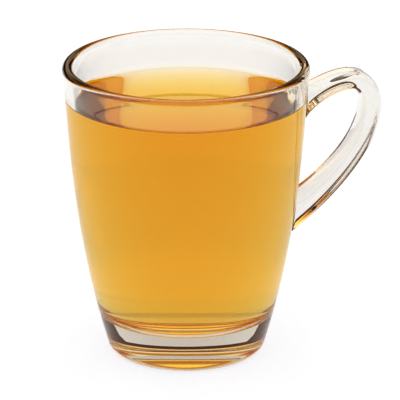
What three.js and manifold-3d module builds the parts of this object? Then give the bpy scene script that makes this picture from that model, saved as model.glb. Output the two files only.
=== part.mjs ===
// A pressed glass cup with an ear-shaped side handle, filled with tea to just below its rim.
// Millimetres, +Z up. The origin is on the cup's axis, in the plane of its foot.
// The handle reaches out along +X.

import * as THREE from 'three';
import { mergeVertices } from 'three/addons/utils/BufferGeometryUtils.js';
import Module from 'manifold-3d';

const wasm = await Module();
wasm.setup();

// Driving dimensions of the cup

const HEIGHT = 102.5;
const RIM_RADIUS = 42;
const LIP_ROUND = 1.8; // radius of the fire-polished lip's section
const HEEL_RADIUS = 27.5; // where the rounded heel meets the side
const HEEL_ROUND = 4;
const FLOOR_HEIGHT = 13; // thickness of the heavy glass base
const FLOOR_RADIUS = 20.2; // flat part of the floor inside
const FLOOR_ROUND = 8; // hollow round between floor and wall

// The side swells from heel to rim: a lean is radius gained for each millimetre of height,
// and a reach is how far up or down the side that lean is felt.
const HEEL_LEAN = 0.29;
const HEEL_REACH = 43.5;
const RIM_LEAN = 0.1;
const RIM_REACH = 20;
const INNER_HEEL_LEAN = 0.24;
const INNER_HEEL_REACH = 32;
const INNER_RIM_LEAN = 0.06;
const INNER_RIM_REACH = 22;

// Driving dimensions of the tea

const TEA_LEVEL = 90.2; // height of its surface above the foot
const TEA_GAP = 0.3; // clearance between the tea's solid and the glass

// Driving dimensions of the handle, an upright strap with rounded edges

const HANDLE_WIDTH = 11; // across the strap
const HANDLE_EDGE_ROUND = 2.4;
const ROOT_START = 28; // the outline is carried inwards to this radius before it is trimmed
const ROOT_EMBED = 1.7; // how deep the trimmed ends sit below the cup's outer surface

// Stations of the handle's outline, each at its distance out from the axis and its height.
// The heading is the outline's direction there, in degrees up from +X, and the pulls say how
// long the curve keeps to that heading before and after the station.
function station(out, up, heading, pullBefore, pullAfter) {
  return { at: new THREE.Vector2(out, up), heading, pullBefore, pullAfter };
}

const BACK = {
  upperRoot: station(39.6, 91.2, 23.4, 0, 6.5),
  crest: station(57.2, 96.7, 0, 5.7, 6.4),
  outermost: station(68.1, 84.5, -90, 7, 15.5),
  lowerRoot: station(34.4, 38.4, -145.5, 19.5, 0),
};
const FINGER_OPENING = {
  lowerRoot: station(36, 52.6, 30.7, 0, 17.5),
  outermost: station(60.9, 85.2, 90, 10.7, 3.4),
  top: station(56.2, 90.3, 188, 2.7, 3.7),
  underArm: station(45.3, 85.5, 217, 3.7, 3.1),
  upperRoot: station(40.2, 79, 251.6, 2.9, 0),
};

// How finely the round shapes are divided

const TURN_STEPS = 66;
const TRIM_STEPS = 48;
const SIDE_STEPS = 13;
const INNER_STEPS = 11;
const LIP_STEPS = 9;
const HEEL_STEPS = 5;
const FLOOR_STEPS = 6;
const OUTLINE_STEPS = 9;
const EDGE_STEPS = 3;

const DOWN = -Math.PI / 2;

// Points of a circular arc from one angle to another, both ends kept.
function arc(centre, radius, from, to, steps) {
  return Array.from({ length: steps + 1 }, (_, i) => {
    const angle = from + ((to - from) * i) / steps;
    return new THREE.Vector2(
      centre.x + radius * Math.cos(angle),
      centre.y + radius * Math.sin(angle),
    );
  });
}

// A side curve that leaves its low end and meets its high end at the leans given.
function sideCurve(low, lowLean, lowReach, high, highLean, highReach) {
  return new THREE.CubicBezierCurve(
    low,
    new THREE.Vector2(low.x + lowLean * lowReach, low.y + lowReach),
    new THREE.Vector2(high.x - highLean * highReach, high.y - highReach),
    high,
  );
}

const lipCentre = new THREE.Vector2(RIM_RADIUS - LIP_ROUND, HEIGHT - LIP_ROUND);
const lipOuterAngle = -Math.atan(RIM_LEAN);
const lipInnerAngle = Math.PI - Math.atan(INNER_RIM_LEAN);

// The outside of the cup from the edge of its flat foot to the start of the lip.
function outerSide() {
  const heelCentre = new THREE.Vector2(HEEL_RADIUS - HEEL_ROUND, HEEL_ROUND);
  const heel = arc(heelCentre, HEEL_ROUND, DOWN, -Math.atan(HEEL_LEAN), HEEL_STEPS);
  const lipStart = arc(lipCentre, LIP_ROUND, lipOuterAngle, lipOuterAngle, 1)[0];
  const curve = sideCurve(heel.at(-1), HEEL_LEAN, HEEL_REACH, lipStart, RIM_LEAN, RIM_REACH);
  return { heel, curve };
}

// The hollow's side, from the round at the floor up to the lip, moved inwards by a clearance.
function innerSide(clearance) {
  const lean = Math.atan(INNER_HEEL_LEAN);
  const roundCentre = new THREE.Vector2(FLOOR_RADIUS, FLOOR_HEIGHT + FLOOR_ROUND);
  const round = arc(roundCentre, FLOOR_ROUND - clearance, DOWN, -lean, FLOOR_STEPS);
  const lipEnd = arc(lipCentre, LIP_ROUND + clearance, lipInnerAngle, lipInnerAngle, 1)[0];
  const curve = sideCurve(
    round.at(-1),
    INNER_HEEL_LEAN,
    INNER_HEEL_REACH,
    lipEnd,
    INNER_RIM_LEAN,
    INNER_RIM_REACH,
  );
  return { round, curve };
}

// The share of the way along a rising curve at which it reaches a height.
function shareAt(curve, height) {
  let low = 0;
  let high = 1;
  const halvings = 40;
  for (let i = 0; i < halvings; i += 1) {
    const middle = (low + high) / 2;
    if (curve.getPoint(middle).y < height) {
      low = middle;
    } else {
      high = middle;
    }
  }
  return low;
}

// Points along the first share of a curve, without its start.
function climb(curve, share, steps) {
  return Array.from({ length: steps }, (_, i) => curve.getPoint((share * (i + 1)) / steps));
}

// A solid of revolution about Z from a profile of (radius, height) points.
function turned(profile, steps) {
  return new THREE.LatheGeometry(profile, steps).rotateX(Math.PI / 2);
}

// A closed mesh as a solid that can be joined and cut: shared vertices, no empty
// triangles, faces turned outwards.
function solidOf(geometry) {
  const bare = geometry.clone();
  bare.deleteAttribute('normal');
  bare.deleteAttribute('uv');
  const merged = mergeVertices(bare);
  const vertProperties = Float32Array.from(merged.attributes.position.array);
  const corners = merged.index.array;
  const kept = [];
  let volume = 0;
  const [p, q, r] = [new THREE.Vector3(), new THREE.Vector3(), new THREE.Vector3()];
  for (let i = 0; i < corners.length; i += 3) {
    const [a, b, c] = [corners[i], corners[i + 1], corners[i + 2]];
    if (a === b || b === c || c === a) continue;
    kept.push(a, b, c);
    p.fromArray(vertProperties, a * 3);
    q.fromArray(vertProperties, b * 3);
    r.fromArray(vertProperties, c * 3);
    volume += p.dot(q.cross(r));
  }
  if (volume < 0) kept.reverse();
  const triVerts = Uint32Array.from(kept);
  return new wasm.Manifold(new wasm.Mesh({ numProp: 3, vertProperties, triVerts }));
}

// A joined or cut solid as a mesh geometry.
function geometryOf(solid) {
  const mesh = solid.getMesh();
  const geometry = new THREE.BufferGeometry();
  geometry.setAttribute('position', new THREE.BufferAttribute(mesh.vertProperties, 3));
  geometry.setIndex(new THREE.BufferAttribute(mesh.triVerts, 1));
  geometry.computeVertexNormals();
  return geometry;
}

// The cup without its handle: flat foot, rounded heel, swelling side, rounded lip, and the
// hollow with its heavy floor.
function cupBody() {
  const outer = outerSide();
  const inner = innerSide(0);
  const lip = arc(lipCentre, LIP_ROUND, lipOuterAngle, lipInnerAngle, LIP_STEPS);
  const profile = [
    new THREE.Vector2(0, 0),
    ...outer.heel,
    ...climb(outer.curve, 1, SIDE_STEPS),
    ...lip.slice(1),
    ...climb(inner.curve, 1, INNER_STEPS).reverse().slice(1),
    ...inner.round.reverse(),
    new THREE.Vector2(0, FLOOR_HEIGHT),
  ];
  return solidOf(turned(profile, TURN_STEPS));
}

// What fills the cup out to a surface a little below its outer skin, used to trim the
// handle's ends so that they finish inside the glass.
function trimCore() {
  const { heel, curve } = outerSide();
  const skin = [...heel.slice(-1), ...climb(curve, 1, SIDE_STEPS)];
  const profile = [
    new THREE.Vector2(0, heel.at(-1).y),
    ...skin.map((point) => new THREE.Vector2(point.x - ROOT_EMBED, point.y)),
    new THREE.Vector2(0, HEIGHT),
  ];
  return solidOf(turned(profile, TRIM_STEPS));
}

// Carries an outline smoothly through stations, starting at the first.
function follow(outline, stations) {
  const step = (from, length) => {
    const angle = THREE.MathUtils.degToRad(from.heading);
    return [from.at.x + length * Math.cos(angle), from.at.y + length * Math.sin(angle)];
  };
  outline.lineTo(...stations[0].at);
  stations.slice(1).forEach((to, i) => {
    const from = stations[i];
    outline.bezierCurveTo(...step(from, from.pullAfter), ...step(to, -to.pullBefore), ...to.at);
  });
}

// The handle's outline in the plane of the axis: over the back from the upper root to the
// outermost point and down to the lower root, then back up along the finger opening.
// All four root ends run level into the cup.
function handleOutline() {
  const outline = new THREE.Shape();
  outline.moveTo(ROOT_START, BACK.upperRoot.at.y);
  follow(outline, Object.values(BACK));
  outline.lineTo(ROOT_START, BACK.lowerRoot.at.y);
  outline.lineTo(ROOT_START, FINGER_OPENING.lowerRoot.at.y);
  follow(outline, Object.values(FINGER_OPENING));
  outline.lineTo(ROOT_START, FINGER_OPENING.upperRoot.at.y);
  outline.closePath();
  return outline;
}

// The strap: its outline pushed out to the strap's width, with rounded edges.
function handle() {
  const flatWidth = HANDLE_WIDTH - 2 * HANDLE_EDGE_ROUND;
  const strap = new THREE.ExtrudeGeometry(handleOutline(), {
    depth: flatWidth,
    bevelEnabled: true,
    bevelThickness: HANDLE_EDGE_ROUND,
    bevelSize: HANDLE_EDGE_ROUND,
    bevelOffset: -HANDLE_EDGE_ROUND,
    bevelSegments: EDGE_STEPS,
    curveSegments: OUTLINE_STEPS,
  });
  strap.translate(0, 0, -flatWidth / 2);
  strap.rotateX(Math.PI / 2);
  return solidOf(strap).subtract(trimCore());
}

// The drink: it fills the hollow up to its level.
function tea() {
  const { round, curve } = innerSide(TEA_GAP);
  const profile = [
    new THREE.Vector2(0, FLOOR_HEIGHT + TEA_GAP),
    ...round,
    ...climb(curve, shareAt(curve, TEA_LEVEL), INNER_STEPS),
    new THREE.Vector2(0, TEA_LEVEL),
  ];
  return solidOf(turned(profile, TURN_STEPS));
}

const clearGlass = new THREE.MeshStandardMaterial({
  color: 0xf2f5f3,
  roughness: 0.02,
  metalness: 0,
  transparent: true,
  opacity: 0.35,
});
const amberTea = new THREE.MeshStandardMaterial({
  color: 0xe39a26,
  roughness: 0.04,
  metalness: 0,
});

function named(name, solid, material) {
  const mesh = new THREE.Mesh(geometryOf(solid), material);
  mesh.name = name;
  return mesh;
}

const glassOfTea = new THREE.Group();
glassOfTea.add(named('glass_cup', cupBody().add(handle()), clearGlass));
glassOfTea.add(named('tea', tea(), amberTea));

export default glassOfTea;
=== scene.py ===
"""A pressed glass cup of tea with an ear-shaped handle, on a pale studio floor.

Blender 4.5, metres, +Z up. The origin is on the cup's axis, in the plane of its foot, and the
handle reaches out along +X.
"""

import logging
import math
from dataclasses import dataclass, field
from enum import Enum
from typing import Optional, Union

import bpy
import numpy as np
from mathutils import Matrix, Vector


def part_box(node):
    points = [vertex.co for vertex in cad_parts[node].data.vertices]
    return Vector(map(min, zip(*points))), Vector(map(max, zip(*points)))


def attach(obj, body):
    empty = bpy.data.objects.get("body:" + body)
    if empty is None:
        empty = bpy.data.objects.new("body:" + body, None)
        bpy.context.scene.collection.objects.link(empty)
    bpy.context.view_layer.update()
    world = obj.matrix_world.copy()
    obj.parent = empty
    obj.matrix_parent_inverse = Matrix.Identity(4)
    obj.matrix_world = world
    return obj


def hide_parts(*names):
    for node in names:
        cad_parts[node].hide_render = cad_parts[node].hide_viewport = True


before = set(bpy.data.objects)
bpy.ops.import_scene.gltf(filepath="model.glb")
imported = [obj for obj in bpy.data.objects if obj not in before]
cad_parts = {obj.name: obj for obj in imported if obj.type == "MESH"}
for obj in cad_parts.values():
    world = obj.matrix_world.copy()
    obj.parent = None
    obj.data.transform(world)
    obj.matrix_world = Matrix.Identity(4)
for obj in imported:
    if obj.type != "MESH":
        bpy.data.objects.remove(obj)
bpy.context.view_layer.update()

MM = 0.001
FULL_TURN = 2 * math.pi
LEVEL = [1, 1, 0]  # a direction times this keeps only its level part
ROOT_BODY = "root"
WETTED = "wetted"  # attribute: 1 on glass that the tea touches
OPEN_TOP = "open_top"  # attribute: 1 on the tea's free surface
GLASS_INDEX = 1.5  # how strongly glass bends light, against air
TEA_INDEX = 1.333
UNTINTED = (1, 1, 1, 1)

# Some sockets of a node share one name, so these are taken by number.
COLOUR_FIRST = 6
COLOUR_SECOND = 7
COLOUR_RESULT = 2
SHADER_FIRST = 1
SHADER_SECOND = 2
VECTOR_FIRST = 0
VECTOR_SECOND = 1

Socket = bpy.types.NodeSocket
Face = tuple[int, ...]
Pair = tuple[float, float]
Rgb = tuple[float, float, float]
Rgba = tuple[float, float, float, float]

log = logging.getLogger("glass_of_tea")


class Node(str, Enum):
    """The CAD nodes that the pieces here stand for."""

    CUP = "glass_cup"
    TEA = "tea"


class Slot(str, Enum):
    """The record's material slots."""

    GLASS = "clear_glass"
    TEA = "tea"


class End(Enum):
    """The two ends of the handle, as ring numbers counted from the upper root."""

    UPPER = 0
    LOWER = -1


def arc(centre: Pair, radius: float, start: float, end: float, steps: int) -> np.ndarray:
    """Gives points of a circular arc, both ends kept.

    Args:
        centre: The arc's centre, as (radius, height).
        radius: The arc's radius.
        start: The angle it starts at, in radians.
        end: The angle it ends at, in radians.
        steps: How many steps it is divided into.

    Returns:
        An array of steps + 1 points.
    """
    angle = np.linspace(start, end, steps + 1)
    return np.column_stack([centre[0] + radius * np.cos(angle), centre[1] + radius * np.sin(angle)])


def bezier(low: np.ndarray, pull_low: np.ndarray, pull_high: np.ndarray, high: np.ndarray,
           steps: int) -> np.ndarray:
    """Gives points of a cubic Bezier curve, both ends kept.

    Args:
        low: The curve's start.
        pull_low: Its second control point.
        pull_high: Its third control point.
        high: Its end.
        steps: How many steps it is divided into.

    Returns:
        An array of steps + 1 points.
    """
    t = np.linspace(0, 1, steps + 1)[:, None]
    s = 1 - t
    return s**3 * low + 3 * s**2 * t * pull_low + 3 * s * t**2 * pull_high + t**3 * high


def run_lengths(points: np.ndarray) -> np.ndarray:
    """Gives the length along a polyline at each of its points."""
    return np.concatenate([[0], np.cumsum(np.linalg.norm(np.diff(points, axis=0), axis=1))])


def unit(vectors: np.ndarray) -> np.ndarray:
    """Gives vectors of length 1 in the same directions."""
    return vectors / np.linalg.norm(vectors, axis=-1, keepdims=True)


def ring_faces(rings: int, around: int) -> list[Face]:
    """Gives the four-sided faces between rings of vertices stored one after another.

    Args:
        rings: How many rings there are.
        around: How many vertices each ring has.

    Returns:
        A list of vertex number tuples.
    """
    faces = []
    for i in range(rings - 1):
        here = i * around
        above = here + around
        for j in range(around):
            k = (j + 1) % around
            faces.append((here + j, here + k, above + k, above + j))
    return faces


@dataclass
class MeshData:
    """Vertices and faces of a mesh before Blender has it."""

    vertices: np.ndarray
    faces: list[Face]

    def build(self, name: str) -> bpy.types.Object:
        """Makes a smooth shaded object of the mesh.

        Args:
            name: The object's name.

        Returns:
            The object, linked to the scene.
        """
        mesh = bpy.data.meshes.new(name)
        mesh.from_pydata(self.vertices.tolist(), [], self.faces)
        mesh.validate()
        mesh.shade_smooth()
        piece = bpy.data.objects.new(name, mesh)
        bpy.context.scene.collection.objects.link(piece)
        return piece


def revolve(profile: np.ndarray, turns: int) -> MeshData:
    """Turns a profile that starts and ends on the axis into a closed solid.

    Args:
        profile: Points (radius, height) from the axis below, up the outside, to the axis.
        turns: How many vertices go around.

    Returns:
        The solid's mesh, faces pointing out.
    """
    angle = np.linspace(0, FULL_TURN, turns, endpoint=False)
    body = profile[1:-1]
    radius = np.repeat(body[:, 0], turns)
    height = np.repeat(body[:, 1], turns)
    around = np.tile(angle, len(body))
    vertices = np.column_stack([radius * np.cos(around), radius * np.sin(around), height])
    below = len(vertices)
    above = below + 1
    poles = np.array([[0, 0, profile[0, 1]], [0, 0, profile[-1, 1]]])
    faces = ring_faces(len(body), turns)
    last = (len(body) - 1) * turns
    for j in range(turns):
        k = (j + 1) % turns
        faces.append((below, k, j))
        faces.append((above, last + j, last + k))
    return MeshData(np.vstack([vertices, poles]), faces)


def united(first: bpy.types.Object, second: bpy.types.Object, name: str) -> bpy.types.Object:
    """Joins two closed solids into one, and removes both.

    Args:
        first: A solid.
        second: Another one that overlaps it.
        name: The name of the result.

    Returns:
        The joined solid, smooth shaded.
    """
    join = first.modifiers.new("join", "BOOLEAN")
    join.operation = "UNION"
    join.solver = "MANIFOLD"
    join.object = second
    depsgraph = bpy.context.evaluated_depsgraph_get()
    mesh = bpy.data.meshes.new_from_object(first.evaluated_get(depsgraph))
    mesh.name = name
    mesh.shade_smooth()
    for old in (first, second):
        bpy.data.objects.remove(old)
    piece = bpy.data.objects.new(name, mesh)
    bpy.context.scene.collection.objects.link(piece)
    return piece


def face_centres(piece: bpy.types.Object) -> np.ndarray:
    """Gives the centre of each face of a mesh object.

    Args:
        piece: The mesh object.

    Returns:
        An array of one point for each face.
    """
    centres = np.zeros(len(piece.data.polygons) * 3, np.float32)
    piece.data.polygons.foreach_get("center", centres)
    return centres.reshape(-1, 3)


def mark_faces(piece: bpy.types.Object, name: str, marked: np.ndarray) -> None:
    """Stores 1 on the corners of the marked faces and 0 on the others.

    Args:
        piece: The mesh object.
        name: The attribute's name.
        marked: A true or false for each face.
    """
    mesh = piece.data
    totals = np.zeros(len(mesh.polygons), np.int32)
    mesh.polygons.foreach_get("loop_total", totals)
    values = np.repeat(marked.astype(np.float32), totals)
    attribute = mesh.attributes.new(name, "FLOAT", "CORNER")
    attribute.data.foreach_set("value", values)
    log.info("%s: %d of %d faces are marked %s", piece.name, marked.sum(), len(marked), name)


@dataclass
class NodeTree:
    """A material or world under construction, with short ways to add common nodes."""

    result: bpy.types.ID
    tree: bpy.types.NodeTree

    @classmethod
    def material(cls, name: str) -> "NodeTree":
        """Starts an empty material.

        Args:
            name: The material's name.

        Returns:
            The material under construction.
        """
        made = bpy.data.materials.new(name)
        made.use_nodes = True
        made.node_tree.nodes.clear()
        return cls(made, made.node_tree)

    def add(self, kind: str) -> bpy.types.Node:
        """Adds a node of that kind."""
        return self.tree.nodes.new(kind)

    def link(self, source: Socket, target: Socket) -> None:
        """Joins an output socket to an input socket."""
        self.tree.links.new(source, target)

    def place(self) -> Socket:
        """Adds the object's own coordinates, and gives their socket."""
        return self.add("ShaderNodeTexCoord").outputs["Object"]

    def noise(self, place: Socket, scale: float, detail: float) -> Socket:
        """Adds a noise over the object's own coordinates.

        Args:
            place: The coordinate socket that it reads.
            scale: How many bumps there are in a metre.
            detail: How many finer layers it has.

        Returns:
            The factor socket, from 0 to 1.
        """
        node = self.add("ShaderNodeTexNoise")
        node.inputs["Scale"].default_value = scale
        node.inputs["Detail"].default_value = detail
        self.link(place, node.inputs["Vector"])
        return node.outputs["Fac"]

    def ramp(self, factor: Socket, low: float, high: float) -> Socket:
        """Stretches a factor from 0 to 1 onto a range.

        Args:
            factor: The factor's socket.
            low: What 0 becomes.
            high: What 1 becomes.

        Returns:
            The stretched number's socket.
        """
        node = self.add("ShaderNodeMapRange")
        node.inputs["To Min"].default_value = low
        node.inputs["To Max"].default_value = high
        self.link(factor, node.inputs["Value"])
        return node.outputs["Result"]

    def step(self, value: Socket, start: float, end: float) -> Socket:
        """Turns a value into a soft step.

        Args:
            value: The value's socket.
            start: Where the step leaves 0.
            end: Where it reaches 1.

        Returns:
            The step's socket.
        """
        node = self.add("ShaderNodeMapRange")
        node.interpolation_type = "SMOOTHSTEP"
        node.inputs["From Min"].default_value = start
        node.inputs["From Max"].default_value = end
        self.link(value, node.inputs["Value"])
        return node.outputs["Result"]

    def blend(self, share: Socket, first: Union[Socket, Rgba], second: Rgba) -> Socket:
        """Mixes two colours.

        Args:
            share: The second colour's share, as a socket.
            first: The first colour, or its socket.
            second: The second colour.

        Returns:
            The mixed colour's socket.
        """
        node = self.add("ShaderNodeMix")
        node.data_type = "RGBA"
        self.link(share, node.inputs["Factor"])
        if isinstance(first, Socket):
            self.link(first, node.inputs[COLOUR_FIRST])
        else:
            node.inputs[COLOUR_FIRST].default_value = first
        node.inputs[COLOUR_SECOND].default_value = second
        return node.outputs[COLOUR_RESULT]

    def times(self, tone: Socket, colour: Rgb) -> Socket:
        """Multiplies a colour by a tone.

        Args:
            tone: The tone's socket.
            colour: Red, green and blue.

        Returns:
            The toned colour's socket.
        """
        node = self.add("ShaderNodeVectorMath")
        node.operation = "MULTIPLY"
        self.link(tone, node.inputs[VECTOR_FIRST])
        node.inputs[VECTOR_SECOND].default_value = colour
        return node.outputs["Vector"]

    def bump(self, factor: Socket, height: float) -> Socket:
        """Raises the surface by a factor times a height.

        Args:
            factor: The factor's socket.
            height: How far a factor of 1 raises it.

        Returns:
            The normal's socket.
        """
        node = self.add("ShaderNodeBump")
        node.inputs["Strength"].default_value = 1
        node.inputs["Distance"].default_value = height
        self.link(factor, node.inputs["Height"])
        return node.outputs["Normal"]

    def attribute(self, name: str) -> Socket:
        """Reads a number stored on the mesh.

        Args:
            name: The attribute's name.

        Returns:
            The number's socket.
        """
        node = self.add("ShaderNodeAttribute")
        node.attribute_name = name
        return node.outputs["Fac"]

    def glass(self, colour: Rgba, index: float, rough: Optional[Socket] = None,
              bump: Optional[Socket] = None) -> Socket:
        """Adds a shader that light passes through.

        Args:
            colour: Its tint.
            index: How strongly it bends light.
            rough: The roughness socket, or None for a perfectly smooth surface.
            bump: The normal socket, or None for an even one.

        Returns:
            The shader's socket.
        """
        node = self.add("ShaderNodeBsdfPrincipled")
        node.inputs["Base Color"].default_value = colour
        node.inputs["Transmission Weight"].default_value = 1
        node.inputs["IOR"].default_value = index
        node.inputs["Roughness"].default_value = 0
        if rough is not None:
            self.link(rough, node.inputs["Roughness"])
        if bump is not None:
            self.link(bump, node.inputs["Normal"])
        return node.outputs["BSDF"]

    def absorption(self, absorbed: Rgb, density: float) -> Socket:
        """Adds a clear volume that takes light away with distance.

        Args:
            absorbed: How much of red, green and blue it takes per metre.
            density: A number above all three, which the node's colour is a share of.

        Returns:
            The volume's socket.
        """
        node = self.add("ShaderNodeVolumeAbsorption")
        node.inputs["Density"].default_value = density
        node.inputs["Color"].default_value = (*[1 - share / density for share in absorbed], 1)
        return node.outputs["Volume"]

    def mix(self, share: Socket, first: Socket, second: Socket) -> Socket:
        """Mixes two shaders.

        Args:
            share: The second shader's share, as a socket.
            first: The first shader's socket.
            second: The second shader's socket.

        Returns:
            The mixed shader's socket.
        """
        node = self.add("ShaderNodeMixShader")
        self.link(share, node.inputs["Fac"])
        self.link(first, node.inputs[SHADER_FIRST])
        self.link(second, node.inputs[SHADER_SECOND])
        return node.outputs["Shader"]

    def output(self, surface: Socket, volume: Optional[Socket] = None) -> None:
        """Ends the material.

        Args:
            surface: The socket of the surface's shader.
            volume: The socket of what fills it, if anything does.
        """
        node = self.add("ShaderNodeOutputMaterial")
        self.link(surface, node.inputs["Surface"])
        if volume is not None:
            self.link(volume, node.inputs["Volume"])


@dataclass(frozen=True)
class CupForm:
    """The cup's driving sizes and the profile that follows from them.

    A lean is how far a curve's end moves out for each unit that it rises, and a reach is how
    high the curve keeps to that lean.
    """

    height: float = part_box(Node.CUP.value)[1].z
    rim_radius: float = -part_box(Node.CUP.value)[0].y
    lip_round: float = 1.8 * MM
    heel_radius: float = 27.5 * MM
    heel_round: float = 4 * MM
    floor_height: float = 13 * MM
    floor_radius: float = 20.2 * MM
    floor_round: float = 8 * MM
    heel_lean: float = 0.29
    heel_reach: float = 43.5 * MM
    rim_lean: float = 0.1
    rim_reach: float = 20 * MM
    inner_heel_lean: float = 0.24
    inner_heel_reach: float = 32 * MM
    inner_rim_lean: float = 0.06
    inner_rim_reach: float = 22 * MM
    edge_hold: float = 0.3 * MM  # ring kept this close to the edge of a flat face
    punt_radius: float = 22 * MM  # the foot is pressed in a little inside a flat ring
    punt_depth: float = 4 * MM
    punt_steps: int = 16
    side_steps: int = 64
    lip_steps: int = 24
    heel_steps: int = 14
    floor_steps: int = 18

    @property
    def lip_centre(self) -> Pair:
        """The centre of the lip's round section, as (radius, height)."""
        return self.rim_radius - self.lip_round, self.height - self.lip_round

    def heel(self) -> np.ndarray:
        """Gives the rounded heel, from the edge of the foot to the side."""
        centre = (self.heel_radius - self.heel_round, self.heel_round)
        return arc(centre, self.heel_round, -math.pi / 2, -math.atan(self.heel_lean), self.heel_steps)

    def punt(self) -> np.ndarray:
        """Gives the shallow dome pressed into the foot, from the axis out to the flat ring."""
        share = np.linspace(0, 1, self.punt_steps + 1)
        return np.column_stack([self.punt_radius * share, self.punt_depth * (1 - share**2)])

    def lip(self) -> np.ndarray:
        """Gives the lip's section, over the top from the outside to the inside."""
        return arc(self.lip_centre, self.lip_round, -math.atan(self.rim_lean),
                   math.pi - math.atan(self.inner_rim_lean), self.lip_steps)

    def outer_side(self) -> np.ndarray:
        """Gives the outside of the wall.

        Returns:
            Points (radius, height) from the heel up to the lip.
        """
        low = self.heel()[-1]
        high = self.lip()[0]
        low_pull = [self.heel_lean * self.heel_reach, self.heel_reach]
        high_pull = [self.rim_lean * self.rim_reach, self.rim_reach]
        return bezier(low, low + low_pull, high - high_pull, high, self.side_steps)

    def hollow(self, overlap: float = 0.0) -> np.ndarray:
        """Gives the hollow's profile, from the edge of its flat floor up to the lip.

        Args:
            overlap: How far the profile is pushed out into the glass.

        Returns:
            Points (radius, height) going up.
        """
        centre = (self.floor_radius, self.floor_height + self.floor_round)
        lean = math.atan(self.inner_heel_lean)
        low_round = arc(centre, self.floor_round + overlap, -math.pi / 2, -lean, self.floor_steps)
        lip_start = math.pi - math.atan(self.inner_rim_lean)
        low = low_round[-1]
        high = arc(self.lip_centre, self.lip_round - overlap, lip_start, math.pi, 1)[0]
        low_pull = [self.inner_heel_lean * self.inner_heel_reach, self.inner_heel_reach]
        high_pull = [self.inner_rim_lean * self.inner_rim_reach, self.inner_rim_reach]
        side = bezier(low, low + low_pull, high - high_pull, high, self.side_steps)
        return np.vstack([low_round, side[1:]])

    def outer_radius(self, height: np.ndarray) -> np.ndarray:
        """Gives the outside radius at heights along the side."""
        side = self.outer_side()
        return np.interp(height, side[:, 1], side[:, 0])

    def hollow_radius(self, height: np.ndarray) -> np.ndarray:
        """Gives the hollow's radius at heights above its floor."""
        side = self.hollow()
        return np.interp(height, side[:, 1], side[:, 0])


@dataclass(frozen=True)
class Station:
    """A point that an edge of the handle passes through, in millimetres and degrees.

    out and up give its place from the axis and the foot, heading the edge's direction there,
    up from +X, and the pulls how long the edge keeps to it before and after.
    """

    out: float
    up: float
    heading: float
    pull_before: float
    pull_after: float

    def at(self, pull: float = 0.0) -> np.ndarray:
        """Gives the place a pull along the heading from here, in metres."""
        angle = math.radians(self.heading)
        return np.array([self.out + pull * math.cos(angle), self.up + pull * math.sin(angle)]) * MM


def carried(stations: tuple[Station, ...], steps: int) -> list[np.ndarray]:
    """Gives the curve from each station to the next.

    Args:
        stations: The stations in order.
        steps: How many steps each curve is divided into.

    Returns:
        A list of point arrays, in metres.
    """
    return [bezier(a.at(), a.at(a.pull_after), b.at(-b.pull_before), b.at(), steps)
            for a, b in zip(stations, stations[1:])]


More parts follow.
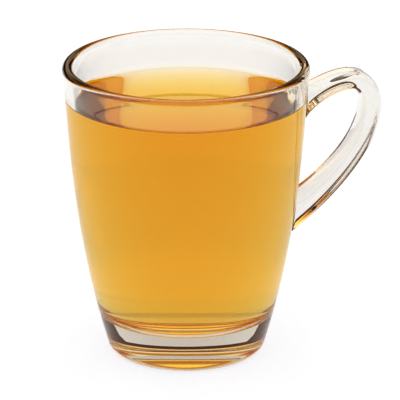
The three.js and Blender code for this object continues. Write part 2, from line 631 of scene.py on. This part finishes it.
@dataclass(frozen=True)
class HandleForm:
    """The ear-shaped strap: two edges in the plane of the axis, and a crowned section."""

    back: tuple[Station, ...] = (
        Station(39.6, 91.2, 23.4, 0, 6.5),
        Station(57.2, 96.7, 0, 5.7, 6.4),
        Station(68.1, 84.5, -90, 7, 15.5),
        Station(34.4, 38.4, -145.5, 19.5, 0),
    )
    finger_opening: tuple[Station, ...] = (
        Station(36, 52.6, 30.7, 0, 17.5),
        Station(60.9, 85.2, 90, 10.7, 3.4),
        Station(56.2, 90.3, 188, 2.7, 3.7),
        Station(45.3, 85.5, 217, 3.7, 3.1),
        Station(40.2, 79, 251.6, 2.9, 0),
    )
    width: float = 11 * MM
    squareness: float = 3.2  # 2 is an ellipse, more is nearer to a rectangle
    fillet: float = 1.5 * MM  # how far the blend into the cup reaches along each surface
    sink: float = 0.02 * MM  # the blend's foot ends this far under the cup's skin
    dive: float = 0.3 * MM  # then it turns down into the glass by this much
    bury: float = 1.5 * MM  # and closes this far under the skin
    curve_steps: int = 160
    rings: int = 230
    around: int = 64
    blend_steps: int = 9
    smoothing: int = 31  # rings over which the pairing of the two edges is averaged

    def edges(self) -> tuple[np.ndarray, np.ndarray]:
        """Gives matching points along the back and the finger opening.

        Returns:
            Two arrays of points from the upper root to the lower one. Each pair of points
            spans the strap's thickness there.
        """
        back = carried(self.back, self.curve_steps)
        opening = [leg[::-1] for leg in reversed(carried(self.finger_opening, self.curve_steps))]
        inner = [np.vstack([opening[0], opening[1][1:]]), opening[2], opening[3]]
        share = np.linspace(0, 1, self.rings)
        matched = np.interp(share, self._leg_shares(back), self._leg_shares(inner))
        kernel = np.ones(self.smoothing) / self.smoothing
        pad = self.smoothing // 2
        early = matched[0] - (matched[1:pad + 1][::-1] - matched[0])
        late = matched[-1] + (matched[-1] - matched[-pad - 1:-1][::-1])
        matched = np.convolve(np.concatenate([early, matched, late]), kernel, "valid")
        return self._walk(back, share), self._walk(inner, matched)

    @staticmethod
    def _leg_shares(legs: list[np.ndarray]) -> np.ndarray:
        """Gives the share of the whole length at which each leg ends, from 0 to 1."""
        lengths = np.array([run_lengths(leg)[-1] for leg in legs])
        return np.concatenate([[0], np.cumsum(lengths) / lengths.sum()])

    @staticmethod
    def _walk(legs: list[np.ndarray], share: np.ndarray) -> np.ndarray:
        """Gives points along joined legs.

        Args:
            legs: Point arrays, each starting where the last one ends.
            share: Shares of the whole length, from 0 to 1.

        Returns:
            An array of one point for each share.
        """
        line = np.vstack([legs[0]] + [leg[1:] for leg in legs[1:]])
        run = run_lengths(line)
        target = share * run[-1]
        return np.column_stack([np.interp(target, run, line[:, i]) for i in (0, 1)])

    def section(self) -> np.ndarray:
        """Gives the crowned section.

        Returns:
            Pairs of the share of half the thickness, and the offset across.
        """
        angle = np.linspace(0, FULL_TURN, self.around, endpoint=False)
        power = 2 / self.squareness
        thick = np.sign(np.cos(angle)) * np.abs(np.cos(angle)) ** power
        wide = np.sign(np.sin(angle)) * np.abs(np.sin(angle)) ** power
        return np.column_stack([thick, wide * self.width / 2])

    def strap(self) -> np.ndarray:
        """Gives the strap before its roots are shaped.

        Returns:
            Rings of points, as an array (rings, around, 3).
        """
        back, opening = self.edges()
        middle = (back + opening) / 2
        half = (back - opening) / 2
        section = self.section()
        plane = middle[:, None, :] + half[:, None, :] * section[None, :, :1]
        across = np.broadcast_to(section[None, :, 1], plane.shape[:2])
        return np.stack([plane[:, :, 0], across, plane[:, :, 1]], axis=2)


@dataclass
class Handle:
    """The handle, with blended roots that end just inside the cup's wall."""

    cup: CupForm
    form: HandleForm = field(default_factory=HandleForm)

    def _height_off_skin(self, points: np.ndarray) -> np.ndarray:
        """Gives how far points stand outside the cup's skin, along the radius."""
        return np.hypot(points[..., 0], points[..., 1]) - self.cup.outer_radius(points[..., 2])

    def _onto_skin(self, points: np.ndarray, depth: float) -> np.ndarray:
        """Moves points along the radius to the cup's skin.

        Args:
            points: An array of points.
            depth: How far under the skin they end.

        Returns:
            The moved points.
        """
        radius = np.hypot(points[:, 0], points[:, 1])
        scale = (self.cup.outer_radius(points[:, 2]) - depth) / radius
        return points * np.column_stack([scale, scale, np.ones_like(scale)])

    def _crossings(self, strap: np.ndarray) -> tuple[np.ndarray, np.ndarray]:
        """Finds where each line along the strap enters the cup's skin.

        Args:
            strap: Rings ordered from the buried end outwards.

        Returns:
            The crossing points, and how far along its line each one lies.
        """
        off = self._height_off_skin(strap)
        points = []
        runs = []
        for j in range(strap.shape[1]):
            line = strap[:, j]
            outside = np.argmax(off[:, j] > 0)
            inside = outside - 1
            share = off[inside, j] / (off[inside, j] - off[outside, j])
            points.append(line[inside] + share * (line[outside] - line[inside]))
            run = run_lengths(line)
            runs.append(run[inside] + share * (run[outside] - run[inside]))
        return np.array(points), np.array(runs)

    def _outward(self, seam: np.ndarray) -> np.ndarray:
        """Gives the direction along the skin, away from the root.

        Args:
            seam: The points where the root meets the skin, in order round it.

        Returns:
            A direction of length 1 for each point.
        """
        along = unit(np.roll(seam, -1, axis=0) - np.roll(seam, 1, axis=0))
        normal = unit(seam * LEVEL)
        away = unit(np.cross(normal, along))
        side = np.sign(np.sum(away * (seam - seam.mean(axis=0)), axis=1).sum())
        return away * side

    def _root(self, strap: np.ndarray) -> np.ndarray:
        """Gives the rings of one blended root, from its buried end to the free strap.

        Args:
            strap: Rings ordered from the buried end outwards.

        Returns:
            Rings that replace the strap's own up to the end of the blend.
        """
        form = self.form
        seam, seam_run = self._crossings(strap)
        away = self._outward(seam)
        foot = self._onto_skin(seam + away * form.fillet, form.sink)
        lines = [strap[:, j] for j in range(strap.shape[1])]
        start = np.array([
            [np.interp(run + form.fillet, run_lengths(line), line[:, axis]) for axis in range(3)]
            for line, run in zip(lines, seam_run)
        ])
        buried = self._onto_skin(seam, form.bury)
        turned = self._onto_skin(foot + away * form.dive, form.dive)
        rings = [buried, turned]
        for t in np.linspace(1, 0, form.blend_steps + 1):
            rings.append((1 - t) ** 2 * start + 2 * t * (1 - t) * seam + t**2 * foot)
        return np.array(rings)

    def _free_strap(self, strap: np.ndarray) -> np.ndarray:
        """Gives the strap between the two blends, with its rings evenly spread.

        Args:
            strap: Rings from the upper end to the lower one.

        Returns:
            Rings between the blends, in the same order.
        """
        form = self.form
        _, low_run = self._crossings(strap)
        _, high_run = self._crossings(strap[::-1])
        share = np.linspace(0, 1, form.rings)[1:-1]
        lines = []
        for j in range(strap.shape[1]):
            line = strap[:, j]
            run = run_lengths(line)
            low = low_run[j] + form.fillet
            high = run[-1] - high_run[j] - form.fillet
            target = low + share * (high - low)
            lines.append(np.column_stack([np.interp(target, run, line[:, k]) for k in range(3)]))
        return np.stack(lines, axis=1)

    def build(self) -> bpy.types.Object:
        """Makes the handle as a closed solid.

        Returns:
            The handle's object, its two ends buried in the cup's wall.
        """
        strap = self.form.strap()
        upper = self._root(strap)
        lower = self._root(strap[::-1])[::-1]
        rings = np.concatenate([upper, self._free_strap(strap), lower])
        around = rings.shape[1]
        vertices = rings.reshape(-1, 3)
        caps = np.array([rings[end.value].mean(axis=0) for end in End])
        faces = [face[::-1] for face in ring_faces(len(rings), around)]
        last = (len(rings) - 1) * around
        upper_cap = len(vertices)
        lower_cap = upper_cap + 1
        for j in range(around):
            k = (j + 1) % around
            faces.append((j, k, upper_cap))
            faces.append((last + k, last + j, lower_cap))
        return MeshData(np.vstack([vertices, caps]), faces).build("handle")


@dataclass(frozen=True)
class Ripple:
    """A faint unevenness that bends the light and dulls the shine a little."""

    scale: float  # bumps in a metre
    detail: float
    height: float
    dullest: float  # the roughness where it is greatest

    def add_to(self, made: NodeTree) -> tuple[Socket, Socket]:
        """Adds the ripple to a material.

        Args:
            made: The material under construction.

        Returns:
            The roughness socket and the normal socket.
        """
        factor = made.noise(made.place(), self.scale, self.detail)
        rough = made.ramp(factor, 0.0, self.dullest)
        return rough, made.bump(factor, self.height)


@dataclass(frozen=True)
class ClearGlass:
    """Clear pressed glass. Where tea wets it, light bends by the ratio of the two."""

    tint: Rgba = (0.95, 0.952, 0.948, 1)
    absorbed: Rgb = (6.0, 7.4, 9.6)  # per metre, for red, green and blue
    density: float = 20.0
    in_air: float = GLASS_INDEX
    in_tea: float = GLASS_INDEX / TEA_INDEX
    ripple: Ripple = Ripple(scale=45.0, detail=2.0, height=0.02 * MM, dullest=0.02)

    def material(self) -> bpy.types.Material:
        """Makes the glass material.

        Returns:
            The material, which reads the attribute of the wetted faces.
        """
        made = NodeTree.material("pressed_glass")
        rough, bump = self.ripple.add_to(made)
        dry = made.glass(self.tint, self.in_air, rough, bump)
        wet = made.glass(self.tint, self.in_tea, rough, bump)
        depth = made.absorption(self.absorbed, self.density)
        made.output(made.mix(made.attribute(WETTED), dry, wet), depth)
        return made.result


@dataclass(frozen=True)
class AmberTea:
    """Clear amber tea: colour comes from how far light travels through it.

    The free surface bends light as water does. The sides and the bottom lie inside the glass,
    whose wetted face already bends it, so they let light straight on.
    """

    in_air: float = TEA_INDEX
    matched: float = 1.0
    absorbed: Rgb = (1.1, 9.7, 48.0)  # per metre, for red, green and blue
    density: float = 80.0
    ripple: Ripple = Ripple(scale=60.0, detail=1.0, height=0.004 * MM, dullest=0.015)

    def material(self) -> bpy.types.Material:
        """Makes the tea material.

        Returns:
            The material, which reads the attribute of the free surface.
        """
        made = NodeTree.material("amber_tea")
        rough, bump = self.ripple.add_to(made)
        free = made.glass(UNTINTED, self.in_air, rough, bump)
        side = made.glass(UNTINTED, self.matched)
        depth = made.absorption(self.absorbed, self.density)
        made.output(made.mix(made.attribute(OPEN_TOP), side, free), depth)
        return made.result


@dataclass(frozen=True)
class TeaForm:
    """The drink's sizes: its level, and how it climbs the glass at its edge."""

    level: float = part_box(Node.TEA.value)[1].z
    climb: float = 1.1 * MM  # how far the edge stands above the flat surface
    climb_reach: float = 1.3 * MM  # how quickly that dies away from the wall
    sag: float = 0.5 * MM  # the flat surface lies this far under the level
    overlap: float = 0.25 * MM  # how far the drink reaches into the wall
    edge_width: float = 8 * MM
    edge_steps: int = 14
    edge_crowding: int = 2  # more draws the steps closer to the glass

    @property
    def contact(self) -> float:
        """The height at which the surface meets the glass."""
        return self.level - self.sag + self.climb


@dataclass
class GlassCup:
    """The cup with its handle, one clear solid."""

    form: CupForm = field(default_factory=CupForm)
    finish: ClearGlass = field(default_factory=ClearGlass)
    turns: int = 256
    touch: float = 0.1 * MM  # a face this close to the hollow's skin lies on it

    def _body(self, contact: float) -> bpy.types.Object:
        """Makes the cup without its handle.

        Args:
            contact: The height at which a ring of vertices marks the tea's edge.

        Returns:
            The body's object.
        """
        form = self.form
        hollow = form.hollow()
        edge = [form.hollow_radius(contact), contact]
        at = np.searchsorted(hollow[:, 1], contact)
        hollow = np.vstack([hollow[:at], edge, hollow[at:]])
        foot = form.heel()[0]
        profile = np.vstack([
            form.punt(),
            [foot[0] - form.edge_hold, 0],
            form.heel(),
            form.outer_side()[1:],
            form.lip()[1:],
            hollow[::-1][1:],
            [form.floor_radius - form.edge_hold, form.floor_height],
            [0, form.floor_height],
        ])
        return revolve(profile, self.turns).build("cup_body")

    def _wetted_faces(self, piece: bpy.types.Object, contact: float) -> np.ndarray:
        """Finds the faces of the hollow that lie under the tea's edge.

        Args:
            piece: The cup.
            contact: The height up to which tea wets the hollow.

        Returns:
            A true or false for each face.
        """
        centre = face_centres(piece)
        out = np.hypot(centre[:, 0], centre[:, 1])
        up = centre[:, 2]
        inside = out < self.form.hollow_radius(up) + self.touch
        return inside & (up > self.form.floor_height - self.touch) & (up < contact)

    def build(self, contact: float) -> bpy.types.Object:
        """Makes the cup and dresses it.

        Args:
            contact: The height up to which tea wets the hollow.

        Returns:
            The finished piece.
        """
        piece = united(self._body(contact), Handle(self.form).build(), "clear_cup")
        mark_faces(piece, WETTED, self._wetted_faces(piece, contact))
        piece.data.materials.clear()
        piece.data.materials.append(self.finish.material())
        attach(piece, ROOT_BODY)
        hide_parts(Node.CUP.value)
        return piece


@dataclass
class Drink:
    """The tea, which reaches just into the glass all round."""

    cup: CupForm
    form: TeaForm = field(default_factory=TeaForm)
    finish: AmberTea = field(default_factory=AmberTea)
    turns: int = 256

    def _edge_radius(self) -> float:
        """Gives the hollow's radius where the surface meets the glass."""
        return float(self.cup.hollow_radius(self.form.contact))

    def _surface(self) -> np.ndarray:
        """Gives the free surface's profile.

        Returns:
            Points (radius, height) from the glass to near the axis.
        """
        form = self.form
        inwards = form.edge_width * np.linspace(0, 1, form.edge_steps + 1) ** form.edge_crowding
        low = form.level - form.sag
        height = low + form.climb * np.exp(-inwards / form.climb_reach)
        height[-1] = low
        return np.column_stack([self._edge_radius() - inwards, height])

    def _body(self) -> bpy.types.Object:
        """Makes the drink's closed form.

        Returns:
            The drink's object, without a material.
        """
        form = self.form
        wall = self.cup.hollow(form.overlap)
        top = float(np.interp(form.contact, wall[:, 1], wall[:, 0]))
        wall = np.vstack([wall[wall[:, 1] < form.contact - form.overlap], [top, form.contact]])
        floor = self.cup.floor_height - form.overlap
        surface = self._surface()
        profile = np.vstack([
            [0, floor],
            [self.cup.floor_radius - self.cup.edge_hold, floor],
            wall,
            surface,
            [0, surface[-1, 1]],
        ])
        return revolve(profile, self.turns).build("amber_drink")

    def _open_faces(self, piece: bpy.types.Object) -> np.ndarray:
        """Finds the faces of the free surface.

        Args:
            piece: The drink.

        Returns:
            A true or false for each face.
        """
        centre = face_centres(piece)
        out = np.hypot(centre[:, 0], centre[:, 1])
        up = centre[:, 2]
        lowest = self._surface()[:, 1].min() - self.form.overlap
        within = (out < self._edge_radius()) & (out < self.cup.hollow_radius(up))
        return within & (up > lowest)

    def build(self) -> bpy.types.Object:
        """Makes the drink and dresses it.

        Returns:
            The finished piece.
        """
        piece = self._body()
        mark_faces(piece, OPEN_TOP, self._open_faces(piece))
        piece.data.materials.append(self.finish.material())
        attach(piece, ROOT_BODY)
        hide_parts(Node.TEA.value)
        return piece


@dataclass(frozen=True)
class PaleFloor:
    """A wide plain sheet with a glow of its own, which runs out to the horizon."""

    radius: float = 12.0
    rings: int = 24
    crowding: int = 3  # more draws the rings closer to the cup
    around: int = 96
    gap: float = 0.05 * MM  # how far it lies under the foot
    reflected: Rgb = (0.2, 0.2, 0.2)  # share of the light from above that it gives back
    lit: Rgb = (0.815, 0.838, 0.898)  # its own glow, which evens out that warm light
    grain: float = 30.0  # patches in a metre
    grain_detail: float = 3.0
    grain_depth: float = 0.02

    def _sheet(self) -> bpy.types.Object:
        """Makes the round sheet.

        Returns:
            The sheet's object, without a material.
        """
        radius = self.radius * (np.arange(1, self.rings + 1) / self.rings) ** self.crowding
        angle = np.linspace(0, FULL_TURN, self.around, endpoint=False)
        spread = np.repeat(radius, self.around)
        turn = np.tile(angle, self.rings)
        height = np.full_like(spread, -self.gap)
        vertices = np.column_stack([spread * np.cos(turn), spread * np.sin(turn), height])
        centre = len(vertices)
        faces = [face[::-1] for face in ring_faces(self.rings, self.around)]
        faces += [(centre, j, (j + 1) % self.around) for j in range(self.around)]
        return MeshData(np.vstack([vertices, [0, 0, -self.gap]]), faces).build("pale_floor")

    def _material(self) -> bpy.types.Material:
        """Makes the floor's material, matt and faintly grained.

        Returns:
            The material.
        """
        made = NodeTree.material("pale_floor")
        grain = made.noise(made.place(), self.grain, self.grain_detail)
        tone = made.ramp(grain, 1 - self.grain_depth, 1.0)
        shader = made.add("ShaderNodeBsdfPrincipled")
        shader.inputs["Roughness"].default_value = 1
        shader.inputs["Specular IOR Level"].default_value = 0
        made.link(made.times(tone, self.reflected), shader.inputs["Base Color"])
        made.link(made.times(tone, self.lit), shader.inputs["Emission Color"])
        shader.inputs["Emission Strength"].default_value = 1
        made.output(shader.outputs["BSDF"])
        return made.result

    def build(self) -> bpy.types.Object:
        """Makes the floor and dresses it.

        Returns:
            The floor, which isn't part of the object.
        """
        floor = self._sheet()
        floor.data.materials.append(self._material())
        return floor


@dataclass(frozen=True)
class SkyBand:
    """One band of the sky, which takes over between two sines of the height angle."""

    start: float
    end: float
    light: Rgba


@dataclass(frozen=True)
class SoftSky:
    """Soft studio light: a wide source overhead, and a warm lit room around a dark horizon."""

    horizon: Rgba = (0.12, 0.04, 0.01, 1)
    bands: tuple[SkyBand, ...] = (
        SkyBand(0.20, 0.30, (1.4, 1.12, 0.75, 1)),
        SkyBand(0.40, 0.50, (0.8, 0.45, 0.1, 1)),
        SkyBand(0.60, 0.74, (1.6, 1.6, 1.2, 1)),
        SkyBand(0.91, 0.97, (1.15, 1.15, 1.05, 1)),
    )

    def build(self) -> bpy.types.World:
        """Lights the scene.

        Returns:
            The world that holds the light.
        """
        world = bpy.data.worlds.new("soft_studio")
        world.use_nodes = True
        world.node_tree.nodes.clear()
        bpy.context.scene.world = world
        made = NodeTree(world, world.node_tree)
        split = made.add("ShaderNodeSeparateXYZ")
        made.link(made.add("ShaderNodeTexCoord").outputs["Generated"], split.inputs["Vector"])
        colour = self.horizon
        for band in self.bands:
            colour = made.blend(made.step(split.outputs["Z"], band.start, band.end), colour, band.light)
        light = made.add("ShaderNodeBackground")
        made.link(colour, light.inputs["Color"])
        end = made.add("ShaderNodeOutputWorld")
        made.link(light.outputs["Background"], end.inputs["Surface"])
        return world


@dataclass(frozen=True)
class PhotoCamera:
    """The camera of the photograph: far away, with a long lens, looking down a little."""

    azimuth: float = -12.0
    elevation: float = 19.65
    distance: float = 1.2
    aim_height: float = 50 * MM
    frame_pixels: float = 400.0
    focal_pixels: float = 3494.0
    aim_left: float = 13.72  # pixels from the middle of the frame to the aim point
    aim_below: float = 9.15
    sensor: float = 36.0
    near: float = 0.01
    far: float = 100.0

    def _place(self, turn: float, rise: float) -> np.ndarray:
        """Works out where the camera stands.

        Args:
            turn: Its azimuth, in radians.
            rise: Its elevation, in radians.

        Returns:
            The place, in metres.
        """
        level = math.cos(rise)
        back = np.array([math.sin(turn) * level, -math.cos(turn) * level, math.sin(rise)])
        right = np.array([math.cos(turn), math.sin(turn), 0])
        up = np.cross(back, right)
        metres = self.distance / self.focal_pixels
        place = np.array([0, 0, self.aim_height]) + back * self.distance
        return place + right * self.aim_left * metres + up * self.aim_below * metres

    def build(self) -> bpy.types.Object:
        """Adds the camera and makes it the scene's.

        Returns:
            The camera's object.
        """
        turn = math.radians(self.azimuth)
        rise = math.radians(self.elevation)
        data = bpy.data.cameras.new("photo_camera")
        data.sensor_width = self.sensor
        data.lens = self.sensor * self.focal_pixels / self.frame_pixels
        data.clip_start = self.near
        data.clip_end = self.far
        camera = bpy.data.objects.new("photo_camera", data)
        camera.location = self._place(turn, rise)
        camera.rotation_euler = (math.pi / 2 - rise, 0, turn)
        bpy.context.scene.collection.objects.link(camera)
        bpy.context.scene.camera = camera
        return camera


@dataclass(frozen=True)
class Picture:
    """How the light becomes a picture, and how far it is followed through the glass."""

    view: str = "Standard"
    gamma: float = 0.68  # under 1 gives the picture the photograph's deeper contrast
    glass_bounces: int = 48  # light turns many times in the thick base before it leaves
    gloss_bounces: int = 24

    def apply(self) -> None:
        """Sets these on the scene."""
        scene = bpy.context.scene
        scene.view_settings.view_transform = self.view
        scene.view_settings.gamma = self.gamma
        scene.cycles.max_bounces = self.glass_bounces
        scene.cycles.transmission_bounces = self.glass_bounces
        scene.cycles.glossy_bounces = self.gloss_bounces


def main() -> None:
    """Builds the cup, the tea, the floor, the light and the camera, and reports each."""
    logging.basicConfig(level=logging.INFO, format="%(name)s: %(message)s")
    Picture().apply()
    cup = GlassCup()
    drink = Drink(cup.form)
    for piece in (cup.build(drink.form.contact), drink.build(), PaleFloor().build()):
        log.info("%s: %d faces", piece.name, len(piece.data.polygons))
    world = SoftSky().build()
    log.info("%s: %d nodes", world.name, len(world.node_tree.nodes))
    camera = PhotoCamera().build()
    log.info("%s: lens of %.0f mm", camera.name, camera.data.lens)


if __name__ == "__main__":
    main()
